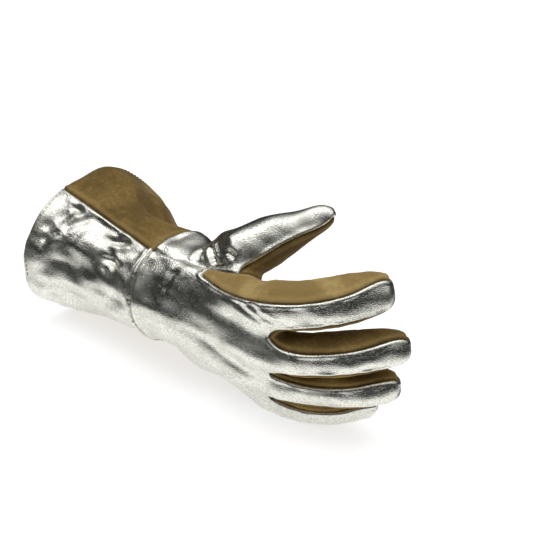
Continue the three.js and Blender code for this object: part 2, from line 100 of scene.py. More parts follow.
# Lines of the mesh that is subdivided, closer together beside the seams
BACK_SHARES = (0, 0.07, 0.22, 0.5, 0.78, 0.93, 1)
SIDE_SHARES = (0, 0.14, 0.5, 0.86, 1)
WRIST_SHARES = (0, 0.05, 0.2, 0.45, 0.72, 1)  # of the way to the strip's start
THUMB_SHARES = (0.25, 0.47, 0.72, 1)  # and on to the thumb's crotch
KNUCKLE_SHARES = (0.3, 0.62, 0.88, 1)  # and on to the fingers
FINGER_SHARES = (0.03, 0.1, 0.2, 0.31, 0.43, 0.55, 0.67, 0.78, 0.87, 0.93, 0.965)
CUFF_SHARES = (0.025, 0.09, 0.2, 0.34, 0.5, 0.66, 0.81, 0.91, 0.965, 0.99, 1)
STRIP_ROW = len(WRIST_SHARES) - 1
THUMB_ROW = STRIP_ROW + len(THUMB_SHARES)
HAND_ROWS = THUMB_ROW + len(KNUCKLE_SHARES)

PANELS = (
    "hand_back", "thumb_back", "cuff_back",
    "hand_palm", "thumb_front", "index_side",
    "index_middle_gusset", "middle_ring_gusset", "ring_little_gusset", "cuff_palm",
)  # fmt: skip
METALLISED = PANELS[:3]
CUFF_PANELS = [PANELS.index(name) for name in ("cuff_back", "cuff_palm")]

# How the leather is shaped at its seams and edges, in millimetres: how deep or high, how far off, how wide.
FAR = 40.0  # past this, nothing asks how far a seam or the cuff's edge is
SEAM = SimpleNamespace(valley=1.2, valley_width=0.75, roll=0.6, roll_at=2.4, roll_width=1.5, uneven=0.25)
WRIST_SEAM = SimpleNamespace(
    valley=0.9, valley_width=2, cuff_roll=0.5, hand_roll=0.8, roll_at=4.2, roll_width=2.2, reach=25
)
EDGE = SimpleNamespace(rounding=1.3, width=1.6, stiff_to=4, soft_over=16)  # the cuff's turned edge
TIP = SimpleNamespace(reach=9, passes=26)  # where the fingertips are eased
LIMPNESS = SimpleNamespace(cuff=2.9, fingers=1.2, edge=0.35, start=-60, over=70)  # how much it ripples
RIPPLES = table("height size seed", (0.36, 17, 3), (0.13, 8, 5))
WELT = SimpleNamespace(raised=2.6, passes=10, every=3)  # above the seam, its path eased and thinned
GROUND = SimpleNamespace(press=0.8, height=16)  # how far the glove sinks on itself where it lies


def mix(a, b, t):
    return a + (b - a) * t


def smooth(x):
    x = np.clip(x, 0, 1)
    return x * x * (3 - 2 * x)


def column(rows, key, at):
    """A column of a table at any place, on a smooth curve through its rows."""
    last = len(rows) - 1
    i = 0
    while i < last - 1 and at > rows[i + 1]["at"]:
        i += 1
    a, b = rows[i], rows[i + 1]
    span = b["at"] - a["at"]
    t = min(max((at - a["at"]) / span, 0), 1)

    def slope(j):
        p, q = rows[max(j - 1, 0)], rows[min(j + 1, last)]
        return (q[key] - p[key]) / (q["at"] - p["at"]) * span

    t2, t3 = t * t, t * t * t
    return (
        (2 * t3 - 3 * t2 + 1) * a[key]
        + (t3 - 2 * t2 + t) * slope(i)
        + (3 * t2 - 2 * t3) * b[key]
        + (t3 - t2) * slope(i + 1)
    )


def turned(angle):
    return math.cos(math.radians(angle)), math.sin(math.radians(angle))


class Ray:
    """A finger or the thumb: a curved centreline with the directions round it."""

    def __init__(self, row, s, length, width, depth, profile):
        self.row, self.length, self.width, self.depth, self.profile = row, length, width, depth, profile
        (cp, sp), (cy, sy), (ct, st) = turned(row["pitch"]), turned(row["yaw"]), turned(row["twist"])
        self.ahead = Vector((cp * cy, cp * sy, sp))
        level = Vector((sy, -cy, 0))
        rise = level.cross(self.ahead)
        self.back = level * ct + rise * st
        self.side = rise * ct - level * st
        self.root = Vector((
            row["along"] * s.hand_length,
            row["out"] * s.knuckle_depth,
            row["up"] * s.knuckle_height,
        ))  # fmt: skip
        self.bends = [{"at": i / 2, "curl": math.radians(curl)} for i, curl in enumerate(row["bend"])]
        base = row.get("base")
        self.base = base and Vector((0, base[1] * s.wrist_depth, base[2] * s.wrist_height))
        self.line = [self.root.copy()]
        for i in range(110):
            self.line.append(self.line[-1] + self.frame_at((i + 0.5) / 100)[0] * length / 100)

    def frame_at(self, share):
        curl = self.bends[0]["curl"] if share < 0 else column(self.bends, "curl", share)
        c, n = math.cos(curl), math.sin(curl)
        return self.ahead * c - self.back * n, self.back * c + self.ahead * n

    def centre(self, share):
        if share < 0:
            if self.base:
                return self.root.lerp(self.base, -share * self.length / (self.root - self.base).length)
            return self.root + self.frame_at(-1)[0] * share * self.length
        i = min(int(share * 100), 109)
        return self.line[i].lerp(self.line[i + 1], share * 100 - i)

    def point(self, share, angle):
        size = column(self.profile, "size", max(share, 0))
        c, n = turned(angle)
        if n < 0:
            n *= 1 + column(self.profile, "pad", max(share, 0))
        across = self.side * (c * size * self.width / 2)
        over = self.frame_at(share)[1] * (n * size * self.depth / 2)
        return self.centre(share) + across + over


class Shell:
    """The glove's outer surface as shared corners and faces, each face marked with its panel."""

    def __init__(self, s):
        self.s = s
        self.rays = [Ray(THUMB, s, s.thumb_length, s.thumb_width, s.thumb_depth, THUMB_PROFILE)]
        for f in FINGERS:
            length, width = f["length"] * s.finger_length, f["width"] * s.finger_width
            self.rays.append(Ray(f, s, length, width, f["depth"] * s.finger_depth, FINGER_PROFILE))
        swing, drop = turned(CUFF_SWING), turned(CUFF_DROP)
        self.cuff_axis = Vector((-swing[0] * drop[0], swing[1] * drop[0], -drop[1]))
        self.corners, self.names, self.faces = [], {}, []
        self.make_faces()

    def hand(self, u, angle):
        s = self.s
        grown = column(HAND, "grown", u)
        c, n = turned(angle)
        height = mix(s.wrist_height, s.knuckle_height, grown) / 2
        depth = mix(s.wrist_depth, s.knuckle_depth, grown) / 2
        heel = column(HAND, "heel", u) * s.wrist_depth * -n if n < 0 else 0
        under = max(0, -c)
        out = -n * depth + heel + grown * s.knuckle_cup * under**2 + grown * s.knuckle_depth * 0.12
        turn = math.radians(CUFF_SWING / 2) * (1 - u)
        return Vector((
            u * s.hand_length * mix(1, 0.76, (1 - c) / 2)
            + out * math.sin(turn)
            - c * height * turned(CUFF_DROP / 2)[1] * (1 - u),
            out * math.cos(turn),
            c * height - column(HAND, "edge", u) * s.wrist_height * under - grown * s.knuckle_height * 0.13,
        ))  # fmt: skip

    def cuff(self, t, angle):
        s = self.s
        grown = column(CUFF, "grown", t)
        c, n = turned(angle)
        across = Vector((turned(CUFF_SWING)[1], turned(CUFF_SWING)[0], 0))
        up = across.cross(self.cuff_axis)
        own = (
            self.cuff_axis * t * s.cuff_length
            - across * n * mix(s.wrist_depth, s.rim_depth, grown) / 2
            + up * c * mix(s.wrist_height, s.rim_height, grown) / 2
        )
        return self.hand(0, angle).lerp(own, float(smooth(t * 3)))

    def share_of(self, row):
        if row <= STRIP_ROW:
            return WRIST_SHARES[row] * STRIP_START
        if row <= THUMB_ROW:
            return mix(STRIP_START, THUMB_CROTCH, THUMB_SHARES[row - STRIP_ROW - 1])
        return mix(THUMB_CROTCH, 1, KNUCKLE_SHARES[row - THUMB_ROW - 1])

    def angles_of(self, ray, part, share, u, s):
        """Where a line of corners lies round the hand's oval and round the finger."""
        half = column(BACK_ARC, "half", min(max(s, 0), 1))
        p0, p1 = PALM_EDGES[ray], PALM_EDGES[ray + 1]
        q0, q1, r0, r1 = 90 - half, 90 + half, PALM_ARC - 90, -90 - PALM_ARC
        b0, b1 = BACK_EDGES[ray], BACK_EDGES[ray + 1]
        top = b0
        if ray == 1:
            opened = min(max((u - STRIP_START) / (1 - STRIP_START) * 1.6, 0), 1)
            b0 = mix(b0, INDEX_SEAM, math.sqrt(1 - (1 - opened) ** 2))
            top = mix(top, 20, float(smooth((u - THUMB_CROTCH) / (1 - THUMB_CROTCH))))
        if part == "back":
            return mix(b0, b1, share), mix(q0, q1, share)
        if part == "palm":
            return mix(p0, p1, share), mix(r0, r1, share)
        if part == "strip":
            return mix(b0, top, share), q0 - STRIP_ARC * share
        if part == "thumbward":
            return mix(top, p0, share), mix(q0 - STRIP_ARC if ray == 1 else q0, r0, share)
        return mix(b1, p1 + 360, share), mix(q1, r1 + 360, share)

    def place_on(self, ray, row, part, share):
        root = THUMB_ROW if ray == 0 else HAND_ROWS
        if row > root:
            s = FINGER_SHARES[row - root - 1]
            return self.rays[ray].point(s, self.angles_of(ray, part, share, 1, s)[1])
        u = self.share_of(row)
        end = THUMB_CROTCH if ray == 0 else 1
        on_hand, on_finger = self.angles_of(ray, part, share, u, 0)
        along = 1 if ray == 0 else self.rays[ray].row["along"]
        s = (u - end) * self.s.hand_length * along / self.rays[ray].length
        weight = float(smooth(u / end if ray == 0 else (u - 0.5) / 0.5))
        return self.hand(u, on_hand).lerp(self.rays[ray].point(s, on_finger), weight)

    def corner(self, name, place):
        if name not in self.names:
            self.names[name] = len(self.corners)
            self.corners.append(place())
        return self.names[name]

    def shares(self, part):
        return BACK_SHARES if part in ("back", "palm") else SIDE_SHARES

    def at(self, ray, row, part, step):
        """One corner. Corners on a line that two rays share are named for the first of the two."""
        side, last = len(SIDE_SHARES) - 1, len(BACK_SHARES) - 1
        steps = len(self.shares(part)) - 1
        crotch = THUMB_ROW if ray == 0 else HAND_ROWS
        before = THUMB_ROW if ray == 1 else HAND_ROWS
        if part == "strip" and step == 0:
            return self.at(ray, row, "back", 0)
        if part == "thumbward" and step == 0:
            return self.at(ray, row, "strip", side) if ray == 1 else self.at(ray, row, "back", 0)
        if part == "thumbward" and step == steps:
            return self.at(ray, row, "palm", 0)
        if part == "littleward" and step == 0:
            return self.at(ray, row, "back", last)
        if part == "littleward" and step == steps:
            return self.at(ray, row, "palm", last)
        share = self.shares(part)[step]
        outer = (part, step) == (("strip", side) if ray == 1 else ("back", 0))
        if ray > 0 and row <= before and outer:
            return self.at(ray - 1, row, "back", last)
        if ray > 0 and row <= before and part == "palm" and step == 0:
            return self.at(ray - 1, row, "palm", last)
        if ray == 1 and row <= STRIP_ROW and (part == "strip" or (part == "back" and step == 0)):
            return self.at(0, row, "back", last)
        if step == steps and ray < 4 and row <= crotch and part in ("back", "palm"):
            partner = ("strip", 1) if ray == 0 and part == "back" else (part, 0)
            return self.corner(
                (ray, row, part, "shared"),
                lambda: (self.place_on(ray, row, part, 1) + self.place_on(ray + 1, row, *partner)) / 2,
            )
        if part == "thumbward" and ray > 0 and row == before:
            return self.at(ray - 1, row, "littleward", step)
        if part == "littleward" and ray < 4 and row == crotch:
            return self.corner(
                (ray, row, "web", step),
                lambda: (
                    self.place_on(ray, row, part, share) + self.place_on(ray + 1, row, "thumbward", share)
                ) / 2,
            )
        return self.corner((ray, row, part, step), lambda: self.place_on(ray, row, part, share))

    def face(self, panel, loop):
        loop = [v for i, v in enumerate(loop) if v != loop[i - 1]]
        if len(loop) > 2:
            self.faces.append((PANELS.index(panel), loop))

    def make_faces(self):
        gussets = ["index_middle_gusset", "middle_ring_gusset", "ring_little_gusset"]
        panels = {
            "back": ["thumb_back"] + ["hand_back"] * 4,
            "palm": ["thumb_front"] + ["hand_palm"] * 4,
            "strip": [None, "index_side", None, None, None],
            "thumbward": ["thumb_back", "index_side"] + gussets,
            "littleward": ["thumb_front"] + gussets + ["hand_palm"],
        }
        side, last = len(SIDE_SHARES) - 1, len(BACK_SHARES) - 1
        for ray in range(5):
            root = THUMB_ROW if ray == 0 else HAND_ROWS
            end = root + len(FINGER_SHARES)
            for part, owners in panels.items():
                if owners[ray] is None:
                    continue
                first = 0
                if part == "strip":
                    first = STRIP_ROW
                if part == "thumbward" and ray > 0:
                    first = THUMB_ROW if ray == 1 else HAND_ROWS
                if part == "littleward" and ray < 4:
                    first = root
                for row in range(first, end):
                    # the strip's narrow neck belongs to the back, which gives the strip a blunt start
                    owner = "hand_back" if part == "strip" and row < STRIP_ROW + 1 else owners[ray]
                    for j in range(len(self.shares(part)) - 1):
                        corners = (row, j), (row, j + 1), (row + 1, j + 1), (row + 1, j)
                        loop = [self.at(ray, r, part, k) for r, k in corners]
                        self.face(owner, loop if part in ("back", "littleward") else loop[::-1])
            rim = [self.at(ray, end, "back", j) for j in range(last)]
            rim += [self.at(ray, end, "littleward", j) for j in range(side)]
            rim += [self.at(ray, end, "palm", j) for j in range(last, 0, -1)]
            rim += [self.at(ray, end, "thumbward", j) for j in range(side, 0, -1)]
            if ray == 1:
                rim += [self.at(ray, end, "strip", j) for j in range(side, 0, -1)]
            tip = self.corner((ray, "tip"), lambda: self.rays[ray].centre(1))
            for i, v in enumerate(rim):
                self.face(panels["back"][ray], [v, rim[(i + 1) % len(rim)], tip])
        ring = [(ray, "back", j) for ray in range(5) for j in range(last)]
        ring += [(4, "littleward", j) for j in range(side)]
        ring += [(ray, "palm", j) for ray in range(4, -1, -1) for j in range(last, 0, -1)]
        ring += [(0, "thumbward", j) for j in range(side, 0, -1)]
        angles = [self.angles_of(ray, part, self.shares(part)[j], 0, 0)[0] for ray, part, j in ring]
        corners = [self.at(ray, 0, part, j) for ray, part, j in ring]
        rows = [corners]
        for k, t in enumerate(CUFF_SHARES):
            rows.append([self.corner(("cuff", k, i), lambda: self.cuff(t, a)) for i, a in enumerate(angles)])
        for a, b in zip(rows, rows[1:]):
            for i in range(len(ring)):
                n = (i + 1) % len(ring)
                self.face("cuff_back" if last <= i < last * 5 else "cuff_palm", [a[n], a[i], b[i], b[n]])

    def crotches(self):
        side = len(SIDE_SHARES)
        rows = [THUMB_ROW] + [HAND_ROWS] * 3
        return [self.at(ray, row, "littleward", j) for ray, row in enumerate(rows) for j in range(side)]

    def settled(self):
        """The corners as an array, with the leather eased through the crotches."""
        points = np.array([p[:] for p in self.corners])
        pairs = {tuple(sorted((loop[i - 1], loop[i]))) for _, loop in self.faces for i in range(len(loop))}
        a, b = np.array(sorted(pairs)).T
        count = np.bincount(np.r_[a, b], minlength=len(points))[:, None]
        for _ in range(8):
            crotch = points[self.crotches()]
            near = np.linalg.norm(points[:, None] - crotch[None], axis=2).min(1)
            total = np.zeros_like(points)
            np.add.at(total, a, points[b])
            np.add.at(total, b, points[a])
            points += (total / count - points) * 0.6 * smooth(1 - near / 26)[:, None]
        return points


def laid():
    """From the hand's own directions to the way the glove lies, in millimetres."""
    rise = Matrix.Rotation(math.radians(-REST_RISE), 4, "Y")
    turn = rise @ Matrix.Rotation(math.radians(REST_LEAN), 4, "X")
    return Matrix.Translation(REST_PLACE) @ turn


class Skin:
    """Arrays of a fine mesh: where its points are, which way they face and how far they are from seams."""

    def __init__(self, mesh):
        n = len(mesh.vertices)
        self.mesh = mesh
        self.points = np.empty(n * 3)
        mesh.vertices.foreach_get("co", self.points)
        self.points = self.points.reshape(-1, 3) / MM
        self.out = np.empty(n * 3)
        mesh.vertex_normals.foreach_get("vector", self.out)
        self.out = self.out.reshape(-1, 3)
        self.edges = np.empty(len(mesh.edges) * 2, int)
        mesh.edges.foreach_get("vertices", self.edges)
        self.edges = self.edges.reshape(-1, 2)
        panel = np.empty(len(mesh.polygons), int)
        mesh.polygons.foreach_get("material_index", panel)
        sizes = np.empty(len(panel), int)
        mesh.polygons.foreach_get("loop_total", sizes)
        of_loop = np.repeat(panel, sizes)
        edge_of_loop = np.empty(len(of_loop), int)
        mesh.loops.foreach_get("edge_index", edge_of_loop)
        self.corner_of_loop = np.empty(len(of_loop), int)
        mesh.loops.foreach_get("vertex_index", self.corner_of_loop)
        self.panel_of_loop = of_loop
        self.low = np.full(len(self.edges), 99)
        self.high = np.full(len(self.edges), -1)
        np.minimum.at(self.low, edge_of_loop, of_loop)
        np.maximum.at(self.high, edge_of_loop, of_loop)
        self.uses = np.bincount(edge_of_loop, minlength=len(self.edges))

    def samples(self, chosen):
        """Points close together along the chosen edges."""
        a, b = self.points[self.edges[chosen, 0]], self.points[self.edges[chosen, 1]]
        return np.concatenate([mix(a, b, t) for t in (0, 0.25, 0.5, 0.75, 1)])

    def distance(self, samples, of=None, far=FAR):
        """Each point's distance to the nearest sample. of picks the points that are asked for."""
        tree = KDTree(len(samples))
        for i, p in enumerate(samples):
            tree.insert(p, i)
        tree.balance()
        result = np.full(len(self.points), far)
        for i in range(len(self.points)) if of is None else of:
            result[i] = min(far, tree.find(self.points[i])[2])
        return result

    def ease(self, where, passes):
        """Smooths the points picked by where."""
        a, b = self.edges[where[self.edges].all(1)].T
        count = np.maximum(np.bincount(np.r_[a, b], minlength=len(self.points)), 1)[:, None]
        leaving = self.edges[~where[self.edges].all(1)]
        inner = where & (np.bincount(leaving.ravel(), minlength=len(where)) == 0)
        for _ in range(passes):
            total = np.zeros_like(self.points)
            np.add.at(total, a, self.points[b])
            np.add.at(total, b, self.points[a])
            self.points[inner] += (total / count - self.points)[inner] * 0.5

    def broad_out(self, passes=24):
        """The outward directions, averaged so that nothing is pushed together in a valley."""
        a, b = self.edges.T
        way = self.out.copy()
        for _ in range(passes):
            total = way.copy()
            np.add.at(total, a, way[b])
            np.add.at(total, b, way[a])
            way = total / np.linalg.norm(total, axis=1)[:, None]
        return way

    def write(self):
        self.mesh.vertices.foreach_set("co", (self.points * MM).ravel())
        self.mesh.update()
        self.mesh.vertex_normals.foreach_get("vector", flat := np.empty(len(self.points) * 3))
        self.out = flat.reshape(-1, 3)


def ripple(points, size, seed, waves=14):
    """Smooth, seeded unevenness about one deep, with bumps of the given size."""
    chance = np.random.default_rng(seed)
    total = np.zeros(len(points))
    for _ in range(waves):
        way = chance.normal(size=3)
        way /= np.linalg.norm(way)
        length = size * chance.uniform(1.4, 2.6)
        total += np.sin(points @ way * (math.tau / length) + chance.uniform(0, math.tau))
    return total / math.sqrt(waves / 2)


def deselect():
    if bpy.context.object and bpy.context.object.mode != "OBJECT":
        bpy.ops.object.mode_set(mode="OBJECT")
    bpy.ops.object.select_all(action="DESELECT")


def pick(obj):
    deselect()
    obj.select_set(True)
    bpy.context.view_layer.objects.active = obj


def modify(obj, kind, **settings):
    """Adds a modifier with its settings and applies it."""
    pick(obj)
    modifier = obj.modifiers.new(kind.lower(), kind)
    for name, value in settings.items():
        setattr(modifier, name, value)
    bpy.ops.object.modifier_apply(modifier=modifier.name)


def mesh_object(name, points, faces):
    mesh = bpy.data.meshes.new(name)
    mesh.from_pydata([tuple(p) for p in points], [], faces)
    obj = bpy.data.objects.new(name, mesh)
    bpy.context.scene.collection.objects.link(obj)
    return obj


def sizes_of(context):
    """The sizes in millimetres."""
    group = context.scene.glove_sizes
    return SimpleNamespace(**{name: getattr(group, name) / MM for name in group.__annotations__})


class GloveSizes(bpy.types.PropertyGroup):
    wall: FloatProperty(
        name="Wall", description="Thickness of one layer of leather", default=0.0022, unit="LENGTH",
    )
    hem_wall: FloatProperty(
        name="Hem wall", description="Thickness of the turned edge of the cuff",
        default=0.0036, unit="LENGTH",
    )
    hem_width: FloatProperty(
        name="Hem width", description="How far the cuff's edge is turned in",
        default=0.009, unit="LENGTH",
    )
    hem_stitch: FloatProperty(
        name="Hem stitching", description="From the cuff's edge to its stitches",
        default=0.0032, unit="LENGTH",
    )
    stitch_length: FloatProperty(
        name="Stitch", description="Length of one stitch", default=0.003, unit="LENGTH",
    )
    welt_width: FloatProperty(
        name="Welt width", description="Width of the rolled seam over the wrist",
        default=0.0042, unit="LENGTH",
    )
    cuff_length: FloatProperty(
        name="Cuff length", description="Wrist seam to the cuff's edge", default=0.103, unit="LENGTH",
    )
    rim_height: FloatProperty(
        name="Rim height", description="Height of the cuff's mouth", default=0.113, unit="LENGTH",
    )
    rim_depth: FloatProperty(
        name="Rim depth", description="Depth of the cuff's mouth", default=0.130, unit="LENGTH",
    )
    wrist_height: FloatProperty(
        name="Wrist height", description="Height of the wrist", default=0.082, unit="LENGTH",
    )
    wrist_depth: FloatProperty(
        name="Wrist depth", description="Depth of the wrist, back to palm", default=0.081, unit="LENGTH",
    )
    hand_length: FloatProperty(
        name="Hand length", description="Wrist seam to the root of the index finger",
        default=0.118, unit="LENGTH",
    )
    knuckle_height: FloatProperty(
        name="Knuckle height", description="Height across the knuckles", default=0.107, unit="LENGTH",
    )
    knuckle_depth: FloatProperty(
        name="Knuckle depth", description="Depth at the knuckles, back to palm",
        default=0.043, unit="LENGTH",
    )
    knuckle_cup: FloatProperty(
        name="Cup", description="How far the little-finger side curls to the palm",
        default=0.038, unit="LENGTH",
    )
    finger_length: FloatProperty(
        name="Finger length", description="Middle finger, root to tip", default=0.097, unit="LENGTH",
    )
    finger_width: FloatProperty(
        name="Finger width", description="Width of a finger", default=0.032, unit="LENGTH",
    )
    finger_depth: FloatProperty(
        name="Finger depth", description="Depth of a finger", default=0.032, unit="LENGTH",
    )
    thumb_length: FloatProperty(
        name="Thumb length", description="Thumb, root to tip", default=0.075, unit="LENGTH",
    )
    thumb_width: FloatProperty(
        name="Thumb width", description="Width of the thumb at its root", default=0.042, unit="LENGTH",
    )
    thumb_depth: FloatProperty(
        name="Thumb depth", description="Depth of the thumb at its root", default=0.039, unit="LENGTH",
    )


class GloveColours(bpy.types.PropertyGroup):
    metal: FloatVectorProperty(
        name="Metallised face", description="Colour of the metallised leather",
        subtype="COLOR", default=(0.87, 0.868, 0.80),
    )
    metal_dark: FloatVectorProperty(
        name="Grain", description="Colour in the metallised leather's grain",
        subtype="COLOR", default=(0.42, 0.415, 0.35),
    )
    suede: FloatVectorProperty(
        name="Suede", description="Colour of the suede's nap",
        subtype="COLOR", default=(0.262, 0.17, 0.052),
    )
    suede_dark: FloatVectorProperty(
        name="Suede, dark", description="Colour where the nap is pressed or handled",
        subtype="COLOR", default=(0.115, 0.072, 0.022),
    )
    # also the index strip's lighter copy of the suede, which is partly painted sheen
    suede_light: FloatVectorProperty(
        name="Suede, light", description="Colour where the nap is rubbed",
        subtype="COLOR", default=(0.62, 0.45, 0.185),
    )
    thread: FloatVectorProperty(
        name="Thread", description="Colour of the sewing thread",
        subtype="COLOR", default=(0.30, 0.24, 0.14),
    )


class Tree:
    """A node tree that is built from top to bottom."""

    def __init__(self, tree):
        self.tree = tree

    def add(self, kind, _values=(), **inputs):
        node = self.tree.nodes.new(kind)
        for name, value in dict(_values).items():
            setattr(node, name, value)
        for name, value in inputs.items():
            socket = node.inputs[int(name[1:])] if name[0] == "_" else node.inputs[name.replace("_", " ")]
            if isinstance(value, bpy.types.NodeSocket):
                self.tree.links.new(value, socket)
            else:
                socket.default_value = value
        return node

    def math(self, operation, a, b=0.0, clamp=False):
        return self.add("ShaderNodeMath", {"operation": operation, "use_clamp": clamp}, _0=a, _1=b).outputs[0]

    def ramp(self, value, low, high, to_low=0.0, to_high=1.0):
        kind = {"interpolation_type": "SMOOTHSTEP"}
        node = self.add("ShaderNodeMapRange", kind, _0=value, _1=low, _2=high, _3=to_low, _4=to_high)
        return node.outputs[0]

    def noise(self, vector, scale, detail=2.0, roughness=0.5):
        node = self.add("ShaderNodeTexNoise", Vector=vector, Scale=scale, Detail=detail, Roughness=roughness)
        return node.outputs[0]

    def blend(self, mask, a, b):
        return self.add("ShaderNodeMix", {"data_type": "RGBA"}, _0=mask, _6=a, _7=b).outputs[2]


def group(name, inputs, outputs, build):
    """A shader node group with named sockets, built once."""
    if name in bpy.data.node_groups:
        return bpy.data.node_groups[name]
    tree = bpy.data.node_groups.new(name, "ShaderNodeTree")
    for label, kind, default in inputs:
        socket = tree.interface.new_socket(label, in_out="INPUT", socket_type=kind)
        if default is not None:
            socket.default_value = default
    for label, kind in outputs:
        tree.interface.new_socket(label, in_out="OUTPUT", socket_type=kind)
    t = Tree(tree)
    source = tree.nodes.new("NodeGroupInput").outputs
    sink = tree.nodes.new("NodeGroupOutput").inputs
    for label, socket in build(t, source).items():
        tree.links.new(socket, sink[label])
    return tree


def leather_grain():
    """Pebbled grain with finer pores and long soft creases."""

    def build(t, given):
        sized = t.add("ShaderNodeVectorMath", {"operation": "SCALE"}, _0=given["Vector"], _3=given["Scale"])
        where = sized.outputs[0]
        drift = t.add("ShaderNodeTexNoise", Vector=where, Scale=0.35, Detail=1.0).outputs[1]
        bent = t.add("ShaderNodeVectorMath", {"operation": "ADD"}, _0=where, _1=drift).outputs[0]
        pebbles = t.add("ShaderNodeTexVoronoi", {"feature": "DISTANCE_TO_EDGE"}, Vector=bent, Scale=1.0)
        cells = pebbles.outputs[0]
        pebble = t.ramp(cells, 0.0, 0.3)
        fine = t.noise(where, 1.7, 3.0, 0.6)
        soft = t.noise(where, 0.16, 2.0)
        height = t.math("ADD", t.math("MULTIPLY", pebble, 0.45), t.math("MULTIPLY", fine, 0.55))
        height = t.math("ADD", height, t.math("MULTIPLY", soft, given["Creasing"]))
        between = t.math("ADD", cells, t.math("MULTIPLY", fine, 0.3))
        return {"Height": height, "Pores": t.ramp(between, 0.08, 0.3, 1.0, 0.0)}

    return group(
        "leather_grain",
        [
            ("Vector", "NodeSocketVector", None),
            ("Scale", "NodeSocketFloat", 700.0),
            ("Creasing", "NodeSocketFloat", 1.0),
        ],
        [("Height", "NodeSocketFloat"), ("Pores", "NodeSocketFloat")],
        build,
    )


def seam_shade():
    """How deep in a seam a place is, for the painted shade in its groove, and how much it is rubbed on the
    roll beside it.
    """

    def build(t, given):
        distance = t.add("ShaderNodeAttribute", {"attribute_name": "seam"}).outputs["Fac"]
        uneven = t.noise(given["Vector"], 120.0, 2.0)
        drift = t.math("MULTIPLY", t.math("SUBTRACT", uneven, 0.5), given["Unevenness"])
        wide = t.math("ADD", distance, drift)
        rub_and_painted_sheen = t.math("MULTIPLY", t.ramp(wide, 1.0, 2.2), t.ramp(wide, 3.0, 6.5, 1.0, 0.0))
        # the groove mask darkens the colour as painted shade in the seam's valley
        return {"Groove_painted_shade": t.ramp(wide, 0.2, 1.1, 1.0, 0.0), "Rubbed": rub_and_painted_sheen}

    return group(
        "seam_shade",
        [("Vector", "NodeSocketVector", None), ("Unevenness", "NodeSocketFloat", 1.0)],
        [("Groove_painted_shade", "NodeSocketFloat"), ("Rubbed", "NodeSocketFloat")],
        build,
    )


def start_material(name):
    if name in bpy.data.materials:
        return bpy.data.materials[name], None, None
    material = bpy.data.materials.new(name)
    material.use_nodes = True
    material.node_tree.nodes.clear()
    t = Tree(material.node_tree)
    return material, t, t.add("ShaderNodeTexCoord").outputs["Object"]


def finish_material(t, **inputs):
    shader = t.add("ShaderNodeBsdfPrincipled", **inputs)
    t.add("ShaderNodeOutputMaterial", Surface=shader.outputs[0])


def place_group(t, tree, **inputs):
    node = t.add("ShaderNodeGroup", {"node_tree": tree}, **inputs)
    return node.outputs


def metallised_leather(context):
    material, t, where = start_material("silvered_face")
    if t:
        c = context.scene.glove_colours
        grain = place_group(t, leather_grain(), Vector=where, Scale=700.0, Creasing=1.6)
        seams = place_group(t, seam_shade(), Vector=where, Unevenness=0.8)
        clouds = t.noise(where, 45.0, 3.0, 0.6)
        stains = t.noise(where, 110.0, 3.0, 0.65)
        speck = t.math("MULTIPLY", grain["Pores"], t.ramp(clouds, 0.35, 0.75, 0.4, 0.75))
        speck = t.math("MAXIMUM", speck, t.ramp(t.noise(where, 640.0, 1.0), 0.46, 0.66, 0.0, 0.5))
        worn = t.math("ADD", t.ramp(clouds, 0.5, 0.72, 0.0, 0.45), t.ramp(stains, 0.5, 0.75, 0.0, 0.4), True)
        speck = t.math("MAXIMUM", speck, worn)
        shade = t.blend(speck, (*c.metal, 1), (*c.metal_dark, 1))
        # painted shade: the seam's groove darkened towards near black
        shade = t.blend(t.math("MULTIPLY", seams["Groove_painted_shade"], 0.5), shade, (0.08, 0.075, 0.065, 1))
        rough = t.math("ADD", t.ramp(clouds, 0.3, 0.8, 0.2, 0.32), t.math("MULTIPLY", grain["Pores"], 0.12))
        bump = t.add("ShaderNodeBump", Strength=1.0, Distance=0.00016, Height=grain["Height"]).outputs[0]
        finish_material(t, Base_Color=shade, Metallic=1.0, Roughness=rough, Normal=bump)
    return material


